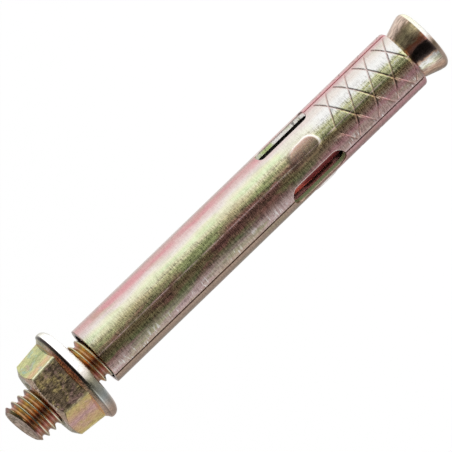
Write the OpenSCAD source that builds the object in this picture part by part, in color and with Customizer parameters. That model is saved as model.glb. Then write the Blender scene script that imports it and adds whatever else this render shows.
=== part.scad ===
// Sleeve anchor for an 8 mm hole, M6 thread, 65 mm long.
// Three pieces: a stud with an expander cone, a slit sleeve rolled from sheet,
// and a hex nut with a flange. The stud stands on its cone, with the nut on top.

/* [Cone bolt] */
// Length of the bolt from the flat face of the cone to the thread end
bolt_l = 65; // [60:1:100]
// Largest diameter of the cone
cone_d = 8.05; // [7.9:0.05:8.3]
// Diameter of the flat face at the cone end
cone_face_d = 6.3; // [5.6:0.1:6.8]
// Height of the rounded edge between the flat face and the cone rim
cone_edge_h = 0.8; // [0.5:0.1:1.2]
// Height of the straight band at the cone rim
cone_rim_h = 0.3; // [0.2:0.05:0.8]
// Angle of the cone side from the axis
cone_angle = 19.3; // [16:0.1:24]
// Diameter of the plain shank
shank_d = 5.3; // [5.1:0.05:5.5]
// Diameter over the thread crests
thread_d = 5.85; // [5.7:0.05:5.95]
// Length of the threaded end
thread_l = 26; // [16:1:30]
// Chamfer at the thread end
thread_chamfer = 0.6; // [0.3:0.1:1]
// Length of thread that stands out beyond the nut
thread_out = 4.1; // [1:0.1:10]

/* [Sleeve] */
// Outer diameter of the sleeve
sleeve_d = 7.8; // [7.7:0.05:7.9]
// Thickness of the sheet that the sleeve is rolled from
sheet_t = 0.65; // [0.6:0.05:0.7]
// Radius of the rounded outer edge at the cone end of the sleeve
mouth_round = 0.5; // [0.2:0.05:0.55]
// Width of the seam and of the slits between the leaves
slit_w = 0.22; // [0.15:0.01:0.4]
// Direction of the seam round the axis
seam_angle = -145; // [-180:0.5:180]
// Number of leaves that open at the cone end
leaf_count = 3; // [3:1:4]

/* [Windows and bosses] */
// Distance from the cone end of the sleeve to the windows
window_from_mouth = 13.05; // [12.5:0.05:20]
// Length of a window
window_l = 7.7; // [6:0.1:9]
// Width of a window
window_w = 2.3; // [1.6:0.1:2.8]
// Radius of the corners of a window
window_corner = 0.7; // [0.3:0.05:1]
// Length of the window that the seam runs through
seam_window_l = 8.1; // [6:0.1:9]
// Width of the window that the seam runs through
seam_window_w = 2.8; // [1.6:0.1:3.2]
// Radius of the corners of the window at the seam
seam_window_corner = 1.2; // [0.6:0.05:1.3]
// Length of a boss pressed out of a leaf
boss_l = 5.1; // [4:0.1:6]
// Width of a boss
boss_w = 3; // [2.4:0.1:3.4]
// Height of a boss over the sleeve
boss_h = 0.2; // [0.1:0.05:0.3]
// Lean of a boss's sides from the way that it stands out
boss_lean = 40; // [25:1:45]
// Distance of the bosses from the middle of the windows, towards the cone end
boss_shift = 0.35; // [0:0.05:0.8]

/* [Diamond grooves] */
// Distance between grooves of one hand, along the axis
groove_pitch = 3.04; // [2.5:0.02:4]
// Slope of the grooves from the way round the sleeve
groove_slope = 28; // [24:0.5:32]
// Width of a groove
groove_w = 0.26; // [0.15:0.01:0.35]
// Depth of a groove
groove_depth = 0.18; // [0.06:0.01:0.22]
// Turn of the crossings' pattern from the middle of each leaf
groove_turn = 4.5; // [-10:0.5:10]
// Plain margin between the grooves and the windows
groove_margin = 1; // [0.5:0.05:2]
// Plain strip on each side of the seam and of the slits
groove_side = 0.3; // [0.2:0.05:1]

/* [Flange nut] */
// Height of the nut
nut_h = 5.8; // [5:0.1:6.5]
// Width across flats where the hexagon meets the flange
nut_af = 9.86; // [9.6:0.01:10.4]
// Draft of the hexagon faces
nut_draft = 5; // [1:0.1:7]
// Free gap between the sleeve and the nut
nut_gap = 2.06; // [1:0.02:4]
// Radius where the chamfer at the front of the nut starts
front_r = 4.45; // [4.2:0.05:4.7]
// Angle of that chamfer from the front face
front_angle = 33; // [25:1:40]
// Diameter of the flange
flange_d = 12.76; // [12.4:0.02:14]
// Diameter of the flat bearing face under the flange
bearing_d = 10.2; // [9.6:0.1:10.8]
// Height of the rounding under the rim of the flange
rim_round_h = 0.95; // [0.5:0.05:1.2]
// Height of the rim's widest point to its front edge
rim_front_h = 0.4; // [0.3:0.05:0.8]
// Angle of the flange's steep outer slope from the bearing face
rim_angle = 43; // [35:1:60]
// Diameter of the crease where the steep slope ends
crease_d = 11.4; // [11:0.1:12]
// Angle of the flange's inner slope from the bearing face
skirt_angle = 18; // [15:1:40]
// Countersink at each end of the nut's bore
nut_sink = 0.4; // [0.2:0.05:0.6]

/* [Fits] */
// Gap all round between the sleeve's mouth and the cone
mouth_clear = 0.05; // [0.03:0.01:0.1]
// Running clearance all round between the nut's bore and the thread crests
thread_clear = 0.05; // [0.03:0.01:0.1]

/* [Hidden] */
$fn = 96;

cone_r = cone_d / 2;
shank_r = shank_d / 2;
thread_r = thread_d / 2;
sleeve_r = sleeve_d / 2;
sleeve_bore_r = sleeve_r - sheet_t;
leaf_step = 360 / leaf_count;

// Height of the cone's rim, and of the point where the cone meets the shank
rim_top_z = cone_edge_h + cone_rim_h;
cone_top_z = rim_top_z + (cone_r - shank_r) / tan(cone_angle);

// The sleeve sits where the cone just clears its bore
sleeve_z = rim_top_z + (cone_r - sleeve_bore_r + mouth_clear) / tan(cone_angle);
window_z = sleeve_z + window_from_mouth;
window_mid_z = window_z + window_l / 2;
boss_mid_z = window_mid_z - boss_shift;

// The grooves end below the longest window. The crossings that come next lie just above that
// end, so that the grooves run out before they meet.
groove_top_z = window_mid_z - max(window_l, seam_window_l) / 2 - groove_margin;
groove_row_z = groove_top_z + groove_pitch / 10;

// The nut is placed from the thread end, and the sleeve fills the bolt up to the free gap
nut_z = bolt_l - thread_out - nut_h;
sleeve_top_z = nut_z - nut_gap;
sleeve_l = sleeve_top_z - sleeve_z;
nut_bore_r = thread_r + thread_clear;
flange_r = flange_d / 2;
bearing_r = bearing_d / 2;

// Where the thread starts on the shank, with a short cone up to it
thread_z = bolt_l - thread_l;
thread_start_h = 0.5;

// Points of a quarter round from one point to another, bulging away from the axis.
// It starts along the radius and ends along the axis.
function quarter(r0, z0, r1, z1, steps) = [
    for (i = [0:steps])
        let (a = 90 * i / steps)
        [r0 + (r1 - r0) * sin(a), z1 - (z1 - z0) * cos(a)]
];

// An opening with round corners that runs outward from the axis along x, tall along z. On a narrow
// opening the corners are as round as its width allows.
module radial_window(length, width, corner) {
    least_flat = 0.04;
    round_r = min(corner, (width - least_flat) / 2);
    rotate([0, 90, 0])
        linear_extrude(height = sleeve_r + 1)
            union() {
                square([length - 2 * round_r, width], center = true);
                square([length, width - 2 * round_r], center = true);
                for (x_side = [-1, 1], y_side = [-1, 1])
                    translate([x_side * (length / 2 - round_r), y_side * (width / 2 - round_r)])
                        circle(r = round_r);
            }
}

// A ring between two radii
module shell(inner_r, outer_r, z0, z1) {
    translate([0, 0, z0])
        difference() {
            cylinder(r = outer_r, h = z1 - z0);
            translate([0, 0, -1])
                cylinder(r = inner_r, h = z1 - z0 + 2);
        }
}

// Stud with its cone, turned and rolled from one wire. The thread is drawn at its crest diameter.
module cone_bolt() {
    edge = quarter(cone_face_d / 2, 0, cone_r, cone_edge_h, 6);
    color("#b39a5b")
        rotate_extrude()
            polygon(concat(
                [[0, 0]],
                edge,
                [
                    [cone_r, rim_top_z],
                    [shank_r, cone_top_z],
                    [shank_r, thread_z - thread_start_h],
                    [thread_r, thread_z],
                    [thread_r, bolt_l - thread_chamfer],
                    [thread_r - thread_chamfer, bolt_l],
                    [0, bolt_l]
                ]
            ));
}

// Rolled tube with its outer edge rounded at the cone end
module sleeve_tube() {
    edge = quarter(sleeve_r - mouth_round, sleeve_z, sleeve_r, sleeve_z + mouth_round, 6);
    rotate_extrude()
        polygon(concat(
            [[sleeve_bore_r, sleeve_z]],
            edge,
            [
                [sleeve_r, sleeve_top_z],
                [sleeve_bore_r, sleeve_top_z]
            ]
        ));
}

// The window at one leaf edge, and the slit from it to the cone end
module leaf_opening(length, width, corner) {
    translate([0, 0, window_mid_z])
        radial_window(length, width, corner);
    translate([0, -slit_w / 2, sleeve_z - 1])
        cube([sleeve_r + 1, slit_w, window_mid_z - sleeve_z + 1]);
}

// The seam, which runs the whole length of the sleeve
module seam() {
    translate([0, -slit_w / 2, sleeve_z - 1])
        cube([sleeve_r + 1, slit_w, sleeve_l + 2]);
}

// Form of the boss's punch and die: a slot that stands out along x, with round ends and leaning
// sides. An inset makes it narrower all round, and a drop sets it nearer to the axis.
module boss_form(inset, drop) {
    lean = tan(boss_lean);
    side_x = sqrt(sleeve_r * sleeve_r - boss_w * boss_w / 4);
    end_z = boss_l / 2 - boss_w / 2 + (sleeve_r - side_x) * lean;
    low_x = sleeve_bore_r - boss_w / 4;
    high_x = sleeve_r + boss_h + sheet_t / 4;
    low_half = boss_w / 2 - inset + (side_x - low_x) * lean;
    high_half = boss_w / 2 - inset - (high_x - side_x) * lean;
    translate([-drop, 0, boss_mid_z])
        union() {
            translate([0, 0, -end_z])
                linear_extrude(height = 2 * end_z)
                    polygon([
                        [low_x, -low_half],
                        [high_x, -high_half],
                        [high_x, high_half],
                        [low_x, low_half]
                    ]);
            for (end = [-1, 1])
                translate([low_x, 0, end * end_z])
                    rotate([0, 90, 0])
                        cylinder(r1 = low_half, r2 = high_half, h = high_x - low_x);
        }
}

// Outside of one boss
module boss_swell() {
    intersection() {
        boss_form(0, 0);
        shell(sleeve_r - sheet_t / 4, sleeve_r + boss_h, window_z - 1, window_z + window_l + 1);
    }
}

// Hollow behind one boss
module boss_hollow() {
    intersection() {
        boss_form(sheet_t / 3, sheet_t);
        shell(sleeve_bore_r - sheet_t, sleeve_bore_r + boss_h,
            window_z - 1, window_z + window_l + 1);
    }
}

// All grooves of one leaf. Each is a thin slab across the leaf, turned by the groove's slope. Slabs
// of one hand lie half a pitch from those of the other, so that a row of crossings lies on each
// side of the pattern's middle.
module leaf_grooves() {
    half_rise = sleeve_r * tan(groove_slope);
    first = floor((sleeve_z - half_rise - groove_row_z) / groove_pitch);
    last = ceil(half_rise / groove_pitch);
    half_leaf = leaf_step / 2 - asin((groove_side + slit_w / 2) / sleeve_r);
    intersection() {
        shell(sleeve_r - groove_depth, sleeve_r + 1, sleeve_z - 1, groove_top_z);
        linear_extrude(height = groove_top_z)
            polygon([
                [0, 0],
                [2 * sleeve_r * cos(half_leaf), -2 * sleeve_r * sin(half_leaf)],
                [2 * sleeve_r, 0],
                [2 * sleeve_r * cos(half_leaf), 2 * sleeve_r * sin(half_leaf)]
            ]);
        rotate([0, 0, groove_turn])
            union()
                for (i = [first:last])
                    for (hand = [-1, 1])
                        translate([0, 0, groove_row_z + (i + hand / 4) * groove_pitch])
                            rotate([hand * groove_slope, 0, 0])
                                translate([0, -2 * sleeve_r, -groove_w / 2])
                                    cube([sleeve_r + 2, 4 * sleeve_r, groove_w]);
    }
}

// Slit sleeve: rolled from one strip of sheet, so that one slit is the seam
module expansion_sleeve() {
    color("#c9ae74")
        rotate([0, 0, seam_angle])
            difference() {
                union() {
                    sleeve_tube();
                    for (i = [0:leaf_count - 1])
                        rotate([0, 0, (i + 0.5) * leaf_step])
                            boss_swell();
                }
                seam();
                leaf_opening(seam_window_l, seam_window_w, seam_window_corner);
                for (i = [1:leaf_count - 1])
                    rotate([0, 0, i * leaf_step])
                        leaf_opening(window_l, window_w, window_corner);
                for (i = [0:leaf_count - 1])
                    rotate([0, 0, (i + 0.5) * leaf_step]) {
                        boss_hollow();
                        leaf_grooves();
                    }
            }
}

// Turned form of the nut: the bearing face, the rounded rim and the two slopes of the flange's top
module nut_turned() {
    rim_inset = 0.2;
    slope_r = flange_r - rim_inset;
    slope_z = rim_round_h + rim_front_h;
    crease_r = crease_d / 2;
    crease_z = slope_z + (slope_r - crease_r) * tan(rim_angle);
    neck_r = nut_af * 0.4;
    neck_z = crease_z + (crease_r - neck_r) * tan(skirt_angle);
    rotate_extrude()
        polygon(concat(
            [[0, 0]],
            quarter(bearing_r, 0, flange_r, rim_round_h, 6),
            [
                [flange_r, rim_round_h + rim_front_h * 0.4],
                [slope_r, slope_z],
                [crease_r, crease_z],
                [neck_r, neck_z],
                [0, neck_z]
            ]
        ));
}

// Hexagon with drafted faces and a chamfered front
module nut_hexagon() {
    outer = nut_af;
    draft_reach = 2;
    intersection() {
        translate([0, 0, rim_round_h])
            difference() {
                cylinder(r = outer, h = nut_h - rim_round_h);
                for (i = [0:5])
                    rotate([0, 0, 60 * i + 30])
                        translate([nut_af / 2, 0, draft_reach - rim_round_h])
                            rotate([0, -nut_draft, 0])
                                translate([0, -outer, -2 * nut_h])
                                    cube([outer, 2 * outer, 4 * nut_h]);
            }
        cylinder(r1 = front_r + nut_h / tan(front_angle), r2 = front_r, h = nut_h);
    }
}

// Hex nut forged in one piece with its flange. The bore is drawn at the thread's crest diameter.
module flange_nut() {
    corner_angle = 4.4;
    color("#a89a62")
        translate([0, 0, nut_z])
            rotate([0, 0, corner_angle])
                difference() {
                    union() {
                        nut_turned();
                        nut_hexagon();
                    }
                    translate([0, 0, -1])
                        cylinder(r = nut_bore_r, h = nut_h + 2);
                    translate([0, 0, -0.01])
                        cylinder(r1 = nut_bore_r + nut_sink, r2 = nut_bore_r, h = nut_sink);
                    translate([0, 0, nut_h - nut_sink + 0.01])
                        cylinder(r1 = nut_bore_r, r2 = nut_bore_r + nut_sink, h = nut_sink);
                }
}

cone_bolt();
expansion_sleeve();
flange_nut();
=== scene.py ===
"""Sleeve anchor of yellow zinc-plated steel, dressed for the render.

Lengths are in millimetres until a mesh is made, and angles are in degrees unless a name ends in
_rad. Azimuth is measured round the anchor's axis from +X towards +Y. The camera looks along +Y, and
a side angle is measured round the axis from the way to the camera, positive towards +X.
"""

import math

import bmesh
import bpy
import numpy as np
from mathutils import Matrix, Vector

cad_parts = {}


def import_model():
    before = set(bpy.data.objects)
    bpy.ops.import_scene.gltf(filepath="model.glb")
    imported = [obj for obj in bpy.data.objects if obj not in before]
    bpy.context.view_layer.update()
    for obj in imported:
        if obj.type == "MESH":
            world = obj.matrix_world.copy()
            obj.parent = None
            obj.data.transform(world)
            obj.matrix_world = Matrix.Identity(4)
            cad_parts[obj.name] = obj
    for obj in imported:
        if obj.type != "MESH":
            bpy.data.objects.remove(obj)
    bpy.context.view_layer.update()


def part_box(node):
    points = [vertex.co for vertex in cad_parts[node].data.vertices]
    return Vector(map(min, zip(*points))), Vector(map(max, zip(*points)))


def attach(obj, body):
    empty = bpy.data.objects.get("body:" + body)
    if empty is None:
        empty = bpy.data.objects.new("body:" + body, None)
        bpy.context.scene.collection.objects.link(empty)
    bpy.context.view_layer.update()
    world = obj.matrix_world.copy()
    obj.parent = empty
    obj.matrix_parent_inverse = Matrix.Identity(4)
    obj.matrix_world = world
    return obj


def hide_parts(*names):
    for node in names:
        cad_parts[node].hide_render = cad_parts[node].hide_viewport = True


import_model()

MM = 0.001
TAU = 2 * math.pi


# Sizes read from the CAD parts' boxes

def node_box(node):
    """Lowest and highest corner of a CAD node, in millimetres."""
    low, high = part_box(node)
    return [v / MM for v in low], [v / MM for v in high]


bolt_low, bolt_high = node_box("cone_bolt")
sleeve_low, sleeve_high = node_box("expansion_sleeve")
nut_low, nut_high = node_box("flange_nut")

BOLT_L = bolt_high[2]
CONE_R = (bolt_high[0] - bolt_low[0]) / 2
SLEEVE_Z0 = sleeve_low[2]
SLEEVE_Z1 = sleeve_high[2]
NUT_Z0 = nut_low[2]
NUT_Z1 = nut_high[2]
FLANGE_R = (nut_high[0] - nut_low[0]) / 2

# Sizes of the bolt that the boxes don't give
CONE_FACE_R = 3.15
CONE_EDGE_H = 0.8
CONE_RIM_H = 0.3
CONE_ANGLE = 19.3
SHANK_R = 2.65
CREST_R = 2.92
ROOT_R = 2.40
PITCH = 1.0
CREST_Z_AT_X = 0.55
THREAD_L = 26.0

# Sizes of the sleeve
SLEEVE_R = 3.9
SHEET_T = 0.65
INNER_R = SLEEVE_R - SHEET_T
MOUTH_ROUND = 0.5
TOP_ROUND = 0.06
SLIT_HALF = 0.11
SEAM_SIDE = -55.0
LEAVES = 3
WINDOW_FROM_MOUTH = 13.05
WINDOW_L = 7.7
WINDOW_Z0 = SLEEVE_Z0 + WINDOW_FROM_MOUTH
WINDOW_Z1 = WINDOW_Z0 + WINDOW_L
WINDOW_MID_Z = WINDOW_Z0 + WINDOW_L / 2
WINDOW_HALF = 1.15
WINDOW_END = 0.8
WINDOW_END_POWER = 2.4
SEAM_WINDOW_L = 8.1
SEAM_WINDOW_HALF = 1.4
SEAM_WINDOW_END = 1.3
SEAM_WINDOW_END_POWER = 2.0
BOSS_L = 5.1
BOSS_W = 3.0
BOSS_H = 0.2
BOSS_SHARP_EDGE = 0.34
BOSS_SOFT_EDGE = 1.25
BOSS_LOW_SHARE = 0.12
BOSS_LIFT_SHARE = 0.62
BOSS_SHIFT = 0.35
BOSS_TURN = -2.5
BOSS_DISH = 0.13
BOSS_DISH_SHIFT = 0.9
BOSS_DISH_W = 0.85
# The line of painted highlight along the boss's crisp edge: its place, width and gain
BOSS_LINE_PLACE = 0.6
BOSS_LINE_W = 0.2
BOSS_LINE_GAIN = 1.15
GROOVE_PITCH = 3.04
GROOVE_LOW_ROW = -17.0
GROOVE_HIGH_ROW = 25.9
GROOVE_RISE_SHARE = (0.47, 0.53)
GROOVE_FLOOR_HALF = 0.015
GROOVE_HALF_W = 0.105
GROOVE_DEPTH = 0.085
GROOVE_MARGIN = 0.22
GROOVE_WIDE_MARGIN = 1.1
GROOVE_WINDOW_GAP = 1.0
GROOVE_TOP_Z = WINDOW_MID_Z - SEAM_WINDOW_L / 2 - GROOVE_WINDOW_GAP
GROOVE_ROW_Z = GROOVE_TOP_Z + GROOVE_PITCH / 10
GROOVE_FADE_Z = GROOVE_TOP_Z + 0.1
GROOVE_FADE_H = 0.12
GROOVE_FADE_W = 0.15
GROOVE_MOUTH_GAP = 0.1
GROOVE_MOUTH_FADE = 0.2

# Sizes of the nut
NUT_AF = 9.86
NUT_AF_H = 2.0
NUT_DRAFT = 5.0
NUT_CORNER_SIDE = 94.4
FRONT_R = 4.45
FRONT_ANGLE = 33.0
BEARING_R = 5.1
RIM_ROUND_H = 0.95
RIM_FRONT_H = 0.4
RIM_FRONT_INSET = 0.2
RIM_TURN_W = 0.05
RIM_ANGLE = 43.0
CREASE_R = 5.7
SKIRT_ANGLE = 18.0
NUT_BORE_R = 2.975
NUT_SINK = 0.4
BORE_RING_H = 2.0
SINK_EDGE_W = 0.06
SINK_EDGE_H = 0.02
FRONT_EDGE_W = 0.08
FRONT_EDGE_H = 0.015


def azimuth_of(side):
    """Azimuth in degrees of a side angle."""
    return side - 90.0


# Mesh helpers

def in_scene(name, data):
    """A new object in the scene that shows the data."""
    obj = bpy.data.objects.new(name, data)
    bpy.context.scene.collection.objects.link(obj)
    return obj


def mesh_object(name, verts, faces):
    """A mesh object from points in millimetres."""
    mesh = bpy.data.meshes.new(name)
    points = np.asarray(verts, dtype=float) * MM
    mesh.from_pydata(points.tolist(), [], faces)
    mesh.validate()
    return in_scene(name, mesh)


def make_piece(name, verts, faces, sharp, weld, layers=()):
    """A piece of the anchor with its layers of vertex colours. Points that lie within the weld
    distance are joined, and the piece is shaded smooth with sharp edges by angle."""
    obj = mesh_object(name, verts, faces)
    mesh = obj.data
    for layer, marks in layers:
        attribute = mesh.color_attributes.new(layer, "FLOAT_COLOR", "POINT")
        attribute.data.foreach_set("color", np.asarray(marks, dtype=float).ravel())
    bm = bmesh.new()
    bm.from_mesh(mesh)
    bmesh.ops.remove_doubles(bm, verts=bm.verts, dist=weld * MM)
    bmesh.ops.recalc_face_normals(bm, faces=bm.faces)
    bm.to_mesh(mesh)
    bm.free()
    mesh.shade_smooth()
    mesh.set_sharp_from_angle(angle=math.radians(sharp))
    return obj


def add_bevel(obj, width, angle, segments):
    """Rounds the sharp edges of a piece."""
    bevel = obj.modifiers.new("edge_round", "BEVEL")
    bevel.width = width * MM
    bevel.segments = segments
    bevel.limit_method = "ANGLE"
    bevel.angle_limit = math.radians(angle)
    bevel.miter_outer = "MITER_ARC"
    bevel.use_clamp_overlap = True


def turned(angles, radii, heights):
    """Points from angles in radians, radii and heights, each of them one value or a row."""
    angles, radii, heights = np.broadcast_arrays(angles, radii, heights)
    return np.stack([radii * np.cos(angles), radii * np.sin(angles), heights], axis=-1).tolist()


def grid_faces(rows, cols, closed, start=0):
    """Quads of a grid of points stored row by row. Closed joins the last column to the first."""
    faces = []
    last = cols if closed else cols - 1
    for i in range(rows - 1):
        for j in range(last):
            k = (j + 1) % cols
            a = start + i * cols
            b = a + cols
            faces.append((a + j, a + k, b + k, b + j))
    return faces


def smooth01(x):
    """Smooth step from 0 to 1."""
    x = np.clip(x, 0.0, 1.0)
    return x * x * (3 - 2 * x)


def quarter_points(r0, z0, r1, z1, steps):
    """Quarter round that starts along the radius and ends along the axis."""
    turns = np.linspace(0, math.pi / 2, steps + 1)
    return [(r0 + (r1 - r0) * math.sin(a), z1 - (z1 - z0) * math.cos(a)) for a in turns]


# The bolt

CENTRE_R = 0.001
FOOT_DISH = 0.06
FOOT_RING_W = 0.25
# Rounded shoulder from the cone's rim to its taper, as steps in and up from the rim's top
CONE_SHOULDER = ((0.0, -0.18), (0.02, -0.08), (0.06, 0.06))
CONE_TAPER_START = 0.08
SHANK_ROW_GAP = 1.0
THREAD_LEAD_IN = 1.0
THREAD_GROWTH = 1.6
CREST_FLAT_SHARE = 0.10
FLANK_SHARE = 0.66
FLANK_ROUNDING = 0.35
END_R = 2.42
END_FALL = 0.86
END_HIGH_SIDE = 129.0
END_CHAMFER_SLOPE = 1.05
# Rings of the dished end, as radius and depth
END_RINGS = ((END_R, 0.0), (END_R - 0.3, 0.03), (1.5, 0.14), (0.8, 0.2), (0.02, 0.22))
BOLT_WELD = 0.0008
BOLT_SHARP = 50.0


def thread_radius(phase):
    """Radius of the rolled thread at a phase from 0 to 1, with the crest at 0."""
    away = np.abs((phase + 0.5) % 1.0 - 0.5) * 2
    flank = np.clip((away - CREST_FLAT_SHARE) / FLANK_SHARE, 0.0, 1.0)
    soft = FLANK_ROUNDING * smooth01(flank) + (1 - FLANK_ROUNDING) * flank
    return CREST_R - (CREST_R - ROOT_R) * soft


def end_height(azimuth_rad):
    """Height of the cropped end of the thread: the cut slants away from its high side."""
    away = azimuth_rad - math.radians(azimuth_of(END_HIGH_SIDE))
    return BOLT_L - END_FALL * (1 - np.cos(away)) / 2


def cone_and_shank_profile(thread_start):
    """Radii and heights along the foot, the cone and the shank."""
    cone_top = CONE_EDGE_H + CONE_RIM_H
    cone_end = cone_top + (CONE_R - SHANK_R) / math.tan(math.radians(CONE_ANGLE))
    profile = [(CENTRE_R, FOOT_DISH), (CONE_FACE_R - 2 * FOOT_RING_W, FOOT_DISH / 2)]
    profile.append((CONE_FACE_R - FOOT_RING_W, 0.0))
    profile += quarter_points(CONE_FACE_R, 0.0, CONE_R, CONE_EDGE_H, 10)
    profile += [(CONE_R - inwards, cone_top + up) for inwards, up in CONE_SHOULDER]
    for share in np.linspace(CONE_TAPER_START, 1, 8):
        radius = CONE_R + (SHANK_R - CONE_R) * share
        profile.append((radius, cone_top + (cone_end - cone_top) * share))
    shank_rows = np.linspace(cone_end + SHANK_ROW_GAP, thread_start - SHANK_ROW_GAP / 5, 12)
    return profile + [(SHANK_R, z) for z in shank_rows]


def build_bolt():
    """Stud with its cone, the shank, the rolled thread and the cropped end."""
    cols = 84
    per_turn = 16
    azimuth = np.linspace(0, TAU, cols, endpoint=False)
    first = BOLT_L - THREAD_L - THREAD_LEAD_IN
    profile = cone_and_shank_profile(first)
    verts = [point for r, z in profile for point in turned(azimuth, r, z)]
    faces = grid_faces(len(profile), cols, True)

    # Thread rows follow the helix, so that the crest is one clean line
    top = end_height(azimuth)
    spiral_start = len(verts)
    count = int((BOLT_L - first + 2 * PITCH) / PITCH * per_turn)
    for i in range(count):
        base = first - PITCH + i * PITCH / per_turn
        z = np.clip(base + PITCH * azimuth / TAU, first, top)
        full = thread_radius((base - CREST_Z_AT_X) / PITCH)
        r = SHANK_R + (full - SHANK_R) * smooth01((z - first) / THREAD_GROWTH)
        r = np.minimum(r, END_R + (top - z) * END_CHAMFER_SLOPE)
        verts += turned(azimuth, r, z)

    def at(i, j):
        """Index of a thread point. Past the last column the helix goes on one turn up."""
        if j == cols:
            return spiral_start + (i + per_turn) * cols
        return spiral_start + i * cols + j

    for i in range(count - 1):
        for j in range(cols):
            if j == cols - 1 and i + 1 + per_turn >= count:
                continue
            faces.append((at(i, j), at(i, j + 1), at(i + 1, j + 1), at(i + 1, j)))

    # The shank meets the first thread row, which lies flat at the bottom
    ring = (len(profile) - 1) * cols
    for j in range(cols):
        k = (j + 1) % cols
        faces.append((ring + j, ring + k, spiral_start + k, spiral_start + j))

    # The cropped end, slightly dished, lies inside the last thread row
    cap_start = len(verts)
    middle = BOLT_L - END_FALL / 2
    for r, depth in END_RINGS:
        verts += turned(azimuth, r, middle + (top - middle) * r / END_R - depth)
    faces += grid_faces(len(END_RINGS), cols, True, cap_start)
    faces.append(tuple(range(cols - 1, -1, -1)))
    faces.append(tuple(range(len(verts) - cols, len(verts))))
    return make_piece("bolt_body", verts, faces, BOLT_SHARP, BOLT_WELD)


# The sleeve

LEAF_COLS = 98
INSIDE_COLS = 10
MOUTH_ROWS = 7
GROOVED_ROWS = 145
WINDOW_END_ROWS = 10
WINDOW_ROWS = 50
PLAIN_ROWS = 14
LEAST_ROW_GAP = 0.008
SLEEVE_SHARP = 40.0
FINE_WELD = 0.0005
# Points of a cut edge from the outside in: back along the surface and down into the sheet, both
# as shares of the edge's rounding, and then down the wall as shares of the sheet's thickness
EDGE_POINTS = ((0.62, 0.08), (0.29, 0.29), (0.08, 0.62), (0.0, 1.0))
WALL_DEPTHS = (0.5, 0.72, 0.9, 0.98)
SLIT_EDGE = 0.05
WINDOW_EDGE = 0.15
WIDE_FROM_SLIT = 0.4
WALL_FOOT = 0.01
WALL_COLS = len(EDGE_POINTS) + len(WALL_DEPTHS)
LEAF_LOOP = LEAF_COLS + INSIDE_COLS + 2 * WALL_COLS


def window_half_width(z, length, half, end, power, slit):
    """Half width of the opening between two leaves at a height. Over the end length it closes
    along a rounded curve, squarer with a higher power."""
    past = max(abs(z - WINDOW_MID_Z) - length / 2 + end, 0.0) / end
    if past >= 1.0:
        return slit
    return max(half * (1.0 - past ** power) ** (1.0 / power), slit)


def sleeve_outer_radius(z):
    """Outer radius with the rounded edge at the mouth and a small edge at the top."""
    for depth, size in ((z - SLEEVE_Z0, MOUTH_ROUND), (SLEEVE_Z1 - z, TOP_ROUND)):
        if depth < size:
            return SLEEVE_R - size + math.sqrt(max(size ** 2 - (size - depth) ** 2, 0.0))
    return SLEEVE_R


def groove_shape(angle, z):
    """Depth of the crossing grooves from 0 to 1, at an angle from the leaf's middle. The crossings
    of the low row start near the grooves' upper end, and those of the high row half a pitch off."""
    depth = np.zeros_like(angle)
    span = GROOVE_HIGH_ROW - GROOVE_LOW_ROW
    rows = (angle - GROOVE_LOW_ROW) / span
    for hand, share in zip((1, -1), GROOVE_RISE_SHARE):
        line = (z - GROOVE_ROW_Z) / GROOVE_PITCH + hand * rows * share
        off = np.abs((line + 0.5) % 1.0 - 0.5) * GROOVE_PITCH
        slope = GROOVE_PITCH * share / (math.radians(span) * SLEEVE_R)
        across = off / math.sqrt(1 + slope * slope)
        depth = np.maximum(depth, 1 - np.clip((across - GROOVE_FLOOR_HALF) / GROOVE_HALF_W, 0.0, 1.0))
    return depth


def boss_rise(angle_rad, z):
    """Height of the boss over the leaf at an angle from the leaf's middle, the share of its form, and
    the share of the line along its crisp edge where a highlight is painted. It stands out sharply on
    one long side and at the cone end, and fades out towards the other two. The sheet beside it is
    dished a little by the press."""
    past = z - (WINDOW_MID_Z - BOSS_SHIFT)
    along = np.maximum(np.abs(past) - (BOSS_L - BOSS_W) / 2, 0.0)
    across = (angle_rad - math.radians(BOSS_TURN)) * SLEEVE_R
    beyond = np.sqrt(along ** 2 + across ** 2) - BOSS_W / 2
    soft = np.maximum(smooth01(-across / BOSS_W * 2), smooth01(past / BOSS_L * 2))
    edge = BOSS_SHARP_EDGE + (BOSS_SOFT_EDGE - BOSS_SHARP_EDGE) * soft
    lift = BOSS_LOW_SHARE + (1 - BOSS_LOW_SHARE) * smooth01(across / BOSS_W + BOSS_LIFT_SHARE)
    raised = smooth01(-beyond / edge)
    beside = 1 - smooth01((np.abs(past - BOSS_DISH_SHIFT) - BOSS_L / 4) / (BOSS_L / 4))
    dished = (1 - smooth01(beyond / BOSS_DISH_W)) * beside * (1 - raised)
    dished = dished * smooth01(across / BOSS_W * 2)
    off_line = np.abs(beyond + edge * BOSS_LINE_PLACE) / BOSS_LINE_W
    highlight_line = np.clip(BOSS_LINE_GAIN - off_line, 0.0, 1.0) * (1 - soft) ** 2
    highlight_line = highlight_line * smooth01(across + 1.0)
    return BOSS_H * raised * lift - BOSS_DISH * dished, raised * lift, highlight_line


def end_rows(start, length, way, count):
    """Heights over a rounded end, closest together at its tip."""
    return [start + way * length * (1 - math.cos(a)) for a in np.linspace(0, math.pi / 2, count)]


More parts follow.
